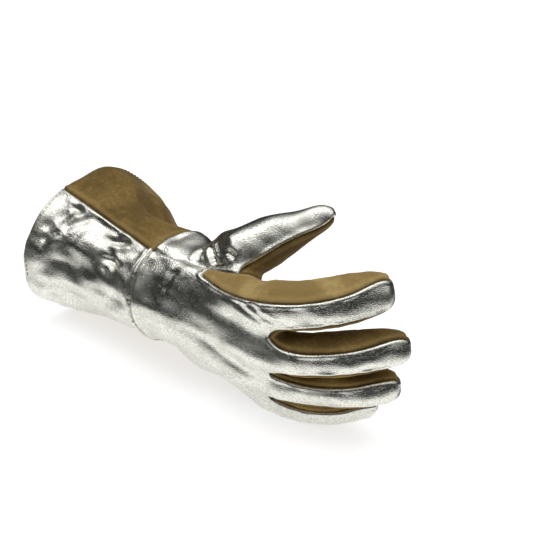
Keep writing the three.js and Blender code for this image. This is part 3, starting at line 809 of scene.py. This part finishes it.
def suede(context, name="suede_nap", pressed=0.0, rub_and_painted_sheen=0.0):
    material, t, where = start_material(name)
    if t:
        c = context.scene.glove_colours
        # the rubbed share lightens the whole suede; on the index strip this lighter copy is partly a lighter
        # suede and partly painted sheen
        base = [mix(a, b, rub_and_painted_sheen) for a, b in zip(c.suede, c.suede_light)]
        seams = place_group(t, seam_shade(), Vector=where, Unevenness=1.6)
        nap = t.noise(where, 2200.0, 2.0, 0.7)
        tufts = t.noise(where, 420.0, 3.0, 0.65)
        clouds = t.noise(where, 38.0, 4.0, 0.62)
        broad = t.noise(where, 14.0, 2.0)
        patches = t.math("ADD", t.math("MULTIPLY", clouds, 0.65), t.math("MULTIPLY", broad, 0.35))
        dark = t.math("ADD", t.ramp(patches, 0.42, 0.62, 0.75, 0.0), pressed, True)
        light = t.math("MULTIPLY", t.ramp(tufts, 0.45, 0.75), t.ramp(clouds, 0.4, 0.7, 0.1, 0.4))
        low = [mix(a, b, rub_and_painted_sheen) for a, b in zip((*c.suede_dark, 1), (*c.suede, 1))]
        shade = t.blend(dark, (*base, 1), low)
        shade = t.blend(light, shade, (*c.suede_light, 1))
        shade = t.blend(t.math("MULTIPLY", seams["Rubbed"], 0.2), shade, (*c.suede_light, 1))
        # painted shade: the seam's groove darkened towards dark brown
        shade = t.blend(t.math("MULTIPLY", seams["Groove_painted_shade"], 0.5), shade, (0.05, 0.03, 0.01, 1))
        shade = t.blend(t.ramp(nap, 0.3, 0.7, 0.3 * (1 - rub_and_painted_sheen * 0.6), 0.0), shade, (*c.suede_dark, 1))
        height = t.math("ADD", t.math("MULTIPLY", nap, 0.35), t.math("MULTIPLY", tufts, 0.65))
        bump = t.add("ShaderNodeBump", Strength=0.5, Distance=0.0005, Height=height).outputs[0]
        finish_material(
            t, Base_Color=shade, Roughness=0.92, Specular_IOR_Level=0.15, Normal=bump,
            Sheen_Weight=0.12, Sheen_Roughness=0.45, Sheen_Tint=(0.75, 0.6, 0.4, 1),
        )  # fmt: skip
    return material


def sewing_thread(context):
    material, t, where = start_material("sewing_thread")
    if t:
        c = context.scene.glove_colours
        ply = t.add("ShaderNodeTexWave", Vector=where, Scale=900.0, Distortion=2.0).outputs["Fac"]
        shade = t.blend(ply, (*c.thread, 1), (*[v * 0.6 for v in c.thread], 1))
        bump = t.add("ShaderNodeBump", Strength=0.4, Distance=0.0002, Height=ply).outputs[0]
        finish_material(t, Base_Color=shade, Roughness=0.6, Normal=bump)
    return material


# Broad dents in the leather, bulges where the depth is negative: where each is, along the cuff from the wrist
# or along the hand, its angle, its reach along and across, how deep it is and how it is turned.
DENTS = table(
    "part along angle length width depth turn",
    ("cuff", 0.55, 88, 24, 9, 2.6, 25),
    ("cuff", 0.30, 70, 18, 8, 2.4, -30),
    ("cuff", 0.82, 62, 18, 8, 2.2, 60),
    ("cuff", 0.35, 112, 22, 9, 2.2, 10),
    ("cuff", 0.75, 120, 24, 12, 2.2, -20),
    ("cuff", 0.62, 60, 14, 6, 1.8, 80),
    ("cuff", 0.50, -60, 30, 14, 3.0, 15),
    ("cuff", 0.45, -120, 28, 14, 2.6, -20),
    ("cuff", 0.15, 40, 14, 8, 1.2, 40),
    ("cuff", 1.00, 128, 34, 30, -8.0, 0),
    ("cuff", 0.90, -5, 26, 26, -5.0, 0),
    ("cuff", 0.43, -30, 15, 28, 9.5, 0),
    ("hand", 0.22, 80, 22, 12, 1.6, 10),
    ("hand", 0.55, 100, 24, 14, 1.6, -15),
    ("hand", 0.40, 140, 20, 12, 1.2, 5),
    ("hand", 0.38, 158, 18, 20, -4.5, 0),
    ("hand", 0.12, 152, 11, 20, 2.0, 0),
    ("hand", 0.08, -12, 11, 22, -4.5, 0),
)

# Creases in the leather: their two ends in the hand's own directions, how wide and how deep they are.
CREASES = table(
    "start end width depth",
    ((46.6, -2.3, 45.0), (58.7, -5.7, 32.7), 2.4, 2.4),
    ((36.9, -2.0, 41.9), (40.0, -11.1, 31.1), 2.2, 1.8),
    ((66, -2.5, 45.5), (76, -4, 41.5), 2.6, 1.4),
    ((-72, -43, 54), (-60, -41, 48), 2.6, 1.6),
    ((-33.3, -38.5, 34.1), (-13.1, -28.8, 36.0), 2.6, 1.8),
    ((-33.0, -43.8, 23.2), (-10.1, -39.3, 18.1), 2.6, 1.5),
    ((-30, -40, 32), (-15, -42, 12), 2.4, 1.3),
    ((-69.8, -56.1, 35.8), (-52.0, -36.4, 49.2), 3.0, 1.6),
    ((-84.4, -64.9, 25.6), (-69.8, -56.1, 35.8), 3.0, 1.3),
    ((72.8, -7.1, -44.1), (85.6, 6.5, -55.1), 2.0, 1.5),
    ((81, -7, -41), (92, 2, -52), 2.0, 1.2),
    ((96.1, -20.4, 18.9), (124.6, -14.2, 10.0), 2.6, 0.9),
    ((108.3, -19.1, 22.0), (134.3, -9.1, 9.7), 2.2, 0.8),
    ((37, -22, 28), (29.2, -32.5, 8.0), 2.6, 1.1),
)

# Folds on the palm side: where each starts and ends, as shares of the hand's length and angles round it.
PALM_FOLDS = table(
    "start end width depth",
    ((0.93, -78), (0.74, -150), 2.2, 1.4),
    ((0.86, -66), (0.66, -118), 2.2, 1.2),
    ((0.72, -64), (0.30, -112), 2.6, 1.6),
    ((0.34, -150), (0.14, -120), 2.4, 1.1),
)
JOINTS = (0.02, 0.34, 0.63)  # shares of a finger's length where its palm side wrinkles
JOINT_WIDTH, JOINT_DEPTH = 1.9, 1.2


def crease(skin, line, width, depth):
    """The push of a soft fold along a line on the surface, with a low roll on each side."""
    line = np.array([p[:] for p in line])
    line = np.array([skin.points[((skin.points - p) ** 2).sum(1).argmin()] for p in line])
    line[1:-1] = (line[:-2] + line[1:-1] * 2 + line[2:]) / 4
    middle = line.mean(0)
    reach = np.linalg.norm(line - middle, axis=1).max() + width * 4
    near = np.nonzero(np.linalg.norm(skin.points - middle, axis=1) < reach)[0]
    apart = np.linalg.norm(skin.points[near][:, None] - line[None], axis=2)
    t = apart.argmin(1) / (len(line) - 1)
    d = apart.min(1) / width
    push = np.zeros(len(skin.points))
    fade = smooth(np.minimum(t, 1 - t) * 4 + 0.1)
    push[near] = depth * fade * (0.45 * np.exp(-((d - 1.9) ** 2)) - np.exp(-d * d))
    return push


class GLOVE_OT_leather(bpy.types.Operator):
    """Shapes the leather: the whole outer surface, subdivided, with its seams, dents and creases"""

    bl_idname = "glove.leather"
    bl_label = "Shape the leather"

    def execute(self, context):
        shell = Shell(sizes_of(context))
        place = laid()
        points = [place @ Vector(p) * MM for p in shell.settled()]
        form = mesh_object("leather_form", points, [loop for _, loop in shell.faces])
        for name in PANELS:
            form.data.materials.append(bpy.data.materials.new(f"mark_{name}"))
        form.data.polygons.foreach_set("material_index", [panel for panel, _ in shell.faces])
        form.data.polygons.foreach_set("use_smooth", [True] * len(shell.faces))
        modify(form, "SUBSURF", levels=3, render_levels=3)
        skin = Skin(form.data)
        rim = skin.uses == 1
        seam = np.full(len(skin.points), FAR)
        for panel in range(len(PANELS)):
            mine = (skin.low != skin.high) & ((skin.low == panel) | (skin.high == panel))
            own = np.unique(skin.corner_of_loop[skin.panel_of_loop == panel])
            seam = np.minimum(seam, skin.distance(skin.samples(mine), own))
        to_rim = skin.distance(skin.samples(rim))
        push = np.zeros(len(skin.points))
        to_local = np.array([(place.inverted() @ Vector(p))[:] for p in skin.points])
        # each seam is a narrow valley between two soft rolls, drawn in a little by its stitches
        pull = 1 + SEAM.uneven * ripple(skin.points, 7, 11)
        push -= SEAM.valley * np.exp(-((seam / SEAM.valley_width) ** 2))
        push += SEAM.roll * pull * np.exp(-(((seam - SEAM.roll_at) / SEAM.roll_width) ** 2))
        # the wrist seam is heavier, and the hand stands over it in a fuller roll
        w = WRIST_SEAM
        wrist = skin.samples(np.isin(skin.low, CUFF_PANELS) ^ np.isin(skin.high, CUFF_PANELS))
        to_wrist = skin.distance(wrist, np.nonzero(np.abs(to_local[:, 0]) < w.reach)[0])
        hand_side = smooth((to_local[:, 0] + 1) / 3)
        push -= w.valley * np.exp(-((to_wrist / w.valley_width) ** 2))
        roll = np.exp(-(((to_wrist - w.roll_at) / w.roll_width) ** 2))
        push += (w.cuff_roll + w.hand_roll * hand_side) * roll
        push -= EDGE.rounding * np.clip(1 - to_rim / EDGE.width, 0, 1) ** 2
        lay = place.to_3x3()
        for row in DENTS:
            surface = shell.cuff if row["part"] == "cuff" else shell.hand
            here = surface(row["along"], row["angle"])
            e1 = (surface(row["along"] + 0.02, row["angle"]) - here).normalized()
            e2 = (surface(row["along"], row["angle"] + 2) - here).normalized()
            facing = e1.cross(e2)
            if facing.dot(here) < 0:
                facing = -facing
            c, n = turned(row["turn"])
            e1, e2 = lay @ (e1 * c + e2 * n), lay @ (e2 * c - e1 * n)
            offset = skin.points - np.array((place @ here)[:])
            a = offset @ np.array(e1[:]) / row["length"]
            b = offset @ np.array(e2[:]) / row["width"]
            seen = smooth((skin.out @ np.array((lay @ facing)[:]).T) * 1.5)
            push -= row["depth"] * np.exp(-(a * a + b * b)) * seen
        lines = []
        for row in CREASES:
            start, end = Vector(row["start"]), Vector(row["end"])
            lines.append(([start.lerp(end, t) for t in np.linspace(0, 1, 24)], row["width"], row["depth"]))
        for row in PALM_FOLDS:
            (u, a), (v, b) = row["start"], row["end"]
            fold = [shell.hand(mix(u, v, t), mix(a, b, t)) for t in np.linspace(0, 1, 40)]
            lines.append((fold, row["width"], row["depth"]))
        for ray in shell.rays:
            for share in JOINTS[ray is shell.rays[0] :]:
                bent = [ray.point(share + 0.01 * math.sin(a), a) for a in np.linspace(-150, -30, 30)]
                lines.append((bent, JOINT_WIDTH, JOINT_DEPTH))
        for line, width, depth in lines:
            push += crease(skin, [place @ p for p in line], width, depth)
        calm = smooth((seam - 1) / 6)
        towards_fingers = smooth((skin.points[:, 0] - LIMPNESS.start) / LIMPNESS.over)
        limp = mix(LIMPNESS.cuff, LIMPNESS.fingers, towards_fingers)
        limp *= mix(LIMPNESS.edge, 1, smooth((to_rim - EDGE.stiff_to) / EDGE.soft_over))
        for row in RIPPLES:
            push += row["height"] * ripple(skin.points, row["size"], row["seed"]) * calm * limp
        skin.points += skin.broad_out() * push[:, None]
        tips = [np.array((place @ ray.centre(1))[:]) for ray in shell.rays]
        to_tip = np.min([np.linalg.norm(skin.points - tip, axis=1) for tip in tips], axis=0)
        skin.ease(to_tip < TIP.reach, TIP.passes)
        up = skin.points[:, 2]
        up -= (up.min() + GROUND.press) * smooth(1 - up / GROUND.height)
        skin.points[:, 2] = np.maximum(up, 0)
        skin.write()
        for name, values in (("seam", seam), ("rim", to_rim)):
            form.data.attributes.new(name, "FLOAT", "POINT").data.foreach_set("value", values)
        return {"FINISHED"}


def panel_piece(name, context):
    """Takes one panel off the form and gives it the leather's thickness."""
    form = bpy.data.objects["leather_form"]
    index = PANELS.index(name)
    copy = form.copy()
    copy.data = form.data.copy()
    bpy.context.scene.collection.objects.link(copy)
    pick(copy)
    bpy.ops.object.mode_set(mode="EDIT")
    bpy.ops.mesh.select_all(action="DESELECT")
    bpy.ops.mesh.select_mode(type="FACE")
    bpy.ops.object.mode_set(mode="OBJECT")
    kept = np.empty(len(copy.data.polygons), int)
    copy.data.polygons.foreach_get("material_index", kept)
    copy.data.polygons.foreach_set("select", kept != index)
    bpy.ops.object.mode_set(mode="EDIT")
    bpy.ops.mesh.delete(type="FACE")
    bpy.ops.object.mode_set(mode="OBJECT")
    copy.name = copy.data.name = f"{name}_panel"
    copy.data.materials.clear()
    face = metallised_leather(context) if name in METALLISED else suede(context)
    # the index finger's strip is a lighter copy of the suede, partly a lighter tone and partly painted sheen
    # from the light above
    if name == "index_side":
        face = suede(context, "suede_lighter_with_painted_sheen", rub_and_painted_sheen=0.8)
    copy.data.materials.append(face)
    copy.data.materials.append(suede(context, "suede_inside", 0.35))
    copy.data.polygons.foreach_set("material_index", [0] * len(copy.data.polygons))
    s = sizes_of(context)
    settings = dict(thickness=s.wall * MM, offset=-1, material_offset=1, material_offset_rim=0, use_rim=True)
    if name.startswith("cuff"):
        values = np.empty(len(copy.data.vertices))
        copy.data.attributes["rim"].data.foreach_get("value", values)
        turned_in = copy.vertex_groups.new(name="hem")
        hem = values < s.hem_width
        turned_in.add([int(i) for i in np.nonzero(hem)[0]], 1, "REPLACE")
        turned_in.add([int(i) for i in np.nonzero(~hem)[0]], s.wall / s.hem_wall, "REPLACE")
        settings.update(thickness=s.hem_wall * MM, vertex_group="hem")
    modify(copy, "SOLIDIFY", **settings)
    pick(copy)
    bpy.ops.object.shade_smooth_by_angle(angle=math.radians(50))
    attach(copy, "root")
    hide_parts(name)
    return copy


class GLOVE_OT_metallised(bpy.types.Operator):
    """Cuts the metallised panels: the backs of the hand, the thumb and the cuff"""

    bl_idname = "glove.metallised"
    bl_label = "Metallised panels"

    def execute(self, context):
        for name in METALLISED:
            panel_piece(name, context)
        return {"FINISHED"}


class GLOVE_OT_suede(bpy.types.Operator):
    """Cuts the suede panels: palm, thumb front, gussets, index finger's side and cuff"""

    bl_idname = "glove.suede"
    bl_label = "Suede panels"

    def execute(self, context):
        for name in PANELS[3:]:
            panel_piece(name, context)
        return {"FINISHED"}


class GLOVE_OT_welt(bpy.types.Operator):
    """Lays the rolled seam round the wrist"""

    bl_idname = "glove.welt"
    bl_label = "Wrist welt"

    def execute(self, context):
        s = sizes_of(context)
        skin = Skin(bpy.data.objects["leather_form"].data)
        ring = np.isin(skin.low, CUFF_PANELS) ^ np.isin(skin.high, CUFF_PANELS)
        links = {}
        for a, b in skin.edges[ring]:
            links.setdefault(int(a), []).append(int(b))
            links.setdefault(int(b), []).append(int(a))
        both = {}
        for v, panel in zip(skin.corner_of_loop, skin.panel_of_loop):
            if int(v) in links:
                both.setdefault(int(v), set()).add(int(panel))
        corners = [v for v, panels in both.items() if panels.issuperset(CUFF_PANELS)]
        for name, own in zip(("back", "palm"), CUFF_PANELS):
            walk = [corners[0]]
            step = next(
                v for v in links[corners[0]] if own in both[v] and not both[v].issuperset(CUFF_PANELS)
            )
            while step is not None:
                walk.append(step)
                onward = (v for v in links[step] if v not in walk[-3:])
                step = next(onward, None) if step != corners[1] else None
            curve = bpy.data.curves.new(f"welt_{name}", "CURVE")
            curve.dimensions = "3D"
            curve.bevel_depth = s.welt_width / 2 * MM
            curve.bevel_resolution = 4
            curve.use_fill_caps = True
            spline = curve.splines.new("POLY")
            path = skin.points[walk] + skin.out[walk] * WELT.raised
            for _ in range(WELT.passes):
                path[1:-1] = (path[:-2] + path[1:-1] * 2 + path[2:]) / 4
            path = path[[*range(0, len(path) - 2, WELT.every), len(path) - 1]]
            path[:, 2] = np.maximum(path[:, 2], s.welt_width * 0.6)
            spline.points.add(len(path) - 1)
            for i, p in enumerate(path * MM):
                spline.points[i].co = (*p, 1)
                spline.points[i].radius = 1 + 0.1 * math.sin(i * 0.9) * math.sin(i * 0.37)
            obj = bpy.data.objects.new(f"wrist_roll_{name}", curve)
            context.scene.collection.objects.link(obj)
            pick(obj)
            bpy.ops.object.convert(target="MESH")
            obj = bpy.context.object
            bpy.ops.object.shade_smooth()
            obj.data.materials.clear()
            obj.data.materials.append(metallised_leather(context) if name == "back" else suede(context))
            seam = obj.data.attributes.new("seam", "FLOAT", "POINT")
            # a seam distance of 3 mm keeps the welt clear of the painted shade in the seam's groove
            seam.data.foreach_set("value", [3.0] * len(obj.data.vertices))  # clear of the seam's dark groove
            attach(obj, "root")
            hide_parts(f"wrist_welt_{name}")
        return {"FINISHED"}


class GLOVE_OT_stitches(bpy.types.Operator):
    """Sews the cuff's turned edge with a row of stitches"""

    bl_idname = "glove.stitches"
    bl_label = "Hem stitches"

    def execute(self, context):
        s = sizes_of(context)
        shell = Shell(s)
        place = laid()
        form = bpy.data.objects["leather_form"]
        faces_of_form = [p.vertices[:] for p in form.data.polygons]
        tree = BVHTree.FromPolygons([v.co for v in form.data.vertices], faces_of_form)
        row = 1 - s.hem_stitch / s.cuff_length
        line = [place @ shell.cuff(row, angle) * MM for angle in np.linspace(0, 360, 361)]
        found = [tree.find_nearest(p)[:2] for p in line]
        reach = [0.0]
        for a, b in zip(found, found[1:]):
            reach.append(reach[-1] + (b[0] - a[0]).length)
        count = int(reach[-1] / (s.stitch_length * 1.28 * MM))
        deselect()
        bpy.ops.mesh.primitive_uv_sphere_add(segments=8, ring_count=6, radius=1)
        stitch = context.object
        shape = [v.co.copy() for v in stitch.data.vertices]
        loops = [p.vertices[:] for p in stitch.data.polygons]
        bpy.data.objects.remove(stitch)
        points, faces = [], []
        for k in range(count):
            want = (k + 0.5) / count * reach[-1]
            i = min(int(np.searchsorted(reach, want)), len(found) - 1)
            j = i - 1
            t = (want - reach[j]) / (reach[i] - reach[j])
            centre = found[j][0].lerp(found[i][0], t)
            out = found[j][1].lerp(found[i][1], t).normalized()
            ahead = (found[i][0] - found[j][0]).normalized()
            over = out.cross(ahead)
            start = len(points)
            for v in shape:
                along = v.x * s.stitch_length * 0.5 * MM
                point = centre + ahead * along + over * v.y * 0.38 * MM + out * (v.z * 0.34 + 0.12) * MM
                point.z = max(point.z, 0)  # pressed flat where the cuff lies on the ground
                points.append(point)
            faces += [[start + a for a in loop] for loop in loops]
        obj = mesh_object("hem_stitches", points, faces)
        pick(obj)
        bpy.ops.object.shade_smooth()
        obj.data.materials.append(sewing_thread(context))
        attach(obj, "root")
        return {"FINISHED"}


PHOTO = SimpleNamespace(
    azimuth=46.44, elevation=29.14, roll=5.99,
    distance=924.76, target=Vector((9.39, 48.59, 80.81)), lens=80.511,
)


class GLOVE_OT_stage(bpy.types.Operator):
    """Sets the camera, the floor and the studio light"""

    bl_idname = "glove.stage"
    bl_label = "Stage"

    def execute(self, context):
        (ca, sa), (ce, se), (cr, sr) = turned(PHOTO.azimuth), turned(PHOTO.elevation), turned(PHOTO.roll)
        level = Vector((ca, sa, 0))
        back = Vector((sa * ce, -ca * ce, se))
        upright = back.cross(level)
        right, up = level * cr + upright * sr, upright * cr - level * sr
        camera = bpy.data.objects.new("camera", bpy.data.cameras.new("camera"))
        context.scene.collection.objects.link(camera)
        camera.data.lens = PHOTO.lens
        camera.data.sensor_width = 36
        camera.data.clip_end = 20
        where = (PHOTO.target + back * PHOTO.distance) * MM
        camera.matrix_world = Matrix.Translation(where) @ Matrix((right, up, back)).transposed().to_4x4()
        context.scene.camera = camera
        deselect()
        bpy.ops.mesh.primitive_plane_add(size=6, location=(0, 0, 0))
        floor = context.object
        floor.name = "floor"
        material, t, _ = start_material("floor")
        white = t.add(
            "ShaderNodeBsdfPrincipled",
            Base_Color=(0.6, 0.6, 0.6, 1), Roughness=0.9, Emission_Color=(1, 1, 1, 1), Emission_Strength=0.7,
        )  # fmt: skip
        dim = t.add("ShaderNodeBsdfDiffuse", Color=(0.04, 0.04, 0.04, 1))
        slant = t.ramp(t.add("ShaderNodeLayerWeight", Blend=0.5).outputs["Facing"], 0.3, 0.68, 0.0, 1.0)
        mirrored = t.math("MULTIPLY", slant, t.add("ShaderNodeLightPath").outputs["Is Glossy Ray"])
        both = t.add("ShaderNodeMixShader", _0=mirrored, _1=white.outputs[0], _2=dim.outputs[0])
        t.add("ShaderNodeOutputMaterial", Surface=both.outputs[0])
        floor.data.materials.append(material)
        for name, place, size, power in (
            ("key", (-0.7, -0.9, 1.7), 1.1, 8),
            ("top", (0.2, 0.3, 1.9), 1.6, 9),
            ("fill", (1.6, 0.9, 1.1), 1.0, 2),
        ):
            light = bpy.data.objects.new(name, bpy.data.lights.new(name, "AREA"))
            light.data.size = size
            light.data.energy = power
            light.location = place
            light.rotation_euler = (Vector(place) - Vector((0, 0, 0.07))).to_track_quat("Z", "Y").to_euler()
            context.scene.collection.objects.link(light)
        world = bpy.data.worlds.new("studio")
        world.use_nodes = True
        t = Tree(world.node_tree)
        world.node_tree.nodes.clear()
        way = t.add("ShaderNodeTexCoord").outputs["Generated"]
        height = t.add("ShaderNodeSeparateXYZ", Vector=way).outputs[2]
        glow = t.ramp(height, 0.28, 0.75, 0.0, 0.62)
        seen = t.add("ShaderNodeLightPath").outputs["Is Camera Ray"]
        strength = t.math("MAXIMUM", glow, seen)
        backdrop = t.add("ShaderNodeBackground", Color=(1, 1, 1, 1), Strength=strength)
        t.add("ShaderNodeOutputWorld", Surface=backdrop.outputs[0])
        context.scene.world = world
        context.scene.view_settings.view_transform = "Standard"
        return {"FINISHED"}


class GLOVE_PT_panel(bpy.types.Panel):
    bl_label = "Glove"
    bl_idname = "GLOVE_PT_panel"
    bl_space_type = "VIEW_3D"
    bl_region_type = "UI"
    bl_category = "Glove"

    def draw(self, context):
        for group_name in ("glove_sizes", "glove_colours"):
            box = self.layout.box()
            settings = getattr(context.scene, group_name)
            for name in settings.__annotations__:
                box.prop(settings, name)
        for operator in OPERATORS:
            self.layout.operator(operator.bl_idname)


OPERATORS = (
    GLOVE_OT_stage, GLOVE_OT_leather, GLOVE_OT_metallised, GLOVE_OT_suede, GLOVE_OT_welt, GLOVE_OT_stitches,
)  # fmt: skip
CLASSES = (GloveSizes, GloveColours, *OPERATORS, GLOVE_PT_panel)


def register():
    for cls in CLASSES:
        bpy.utils.register_class(cls)
    bpy.types.Scene.glove_sizes = PointerProperty(type=GloveSizes)
    bpy.types.Scene.glove_colours = PointerProperty(type=GloveColours)


def unregister():
    del bpy.types.Scene.glove_sizes
    del bpy.types.Scene.glove_colours
    for cls in reversed(CLASSES):
        bpy.utils.unregister_class(cls)


def main():
    register()
    for operator in OPERATORS:
        module, name = operator.bl_idname.split(".")
        getattr(getattr(bpy.ops, module), name)()
    bpy.data.objects.remove(bpy.data.objects["leather_form"])


if __name__ == "__main__":
    main()
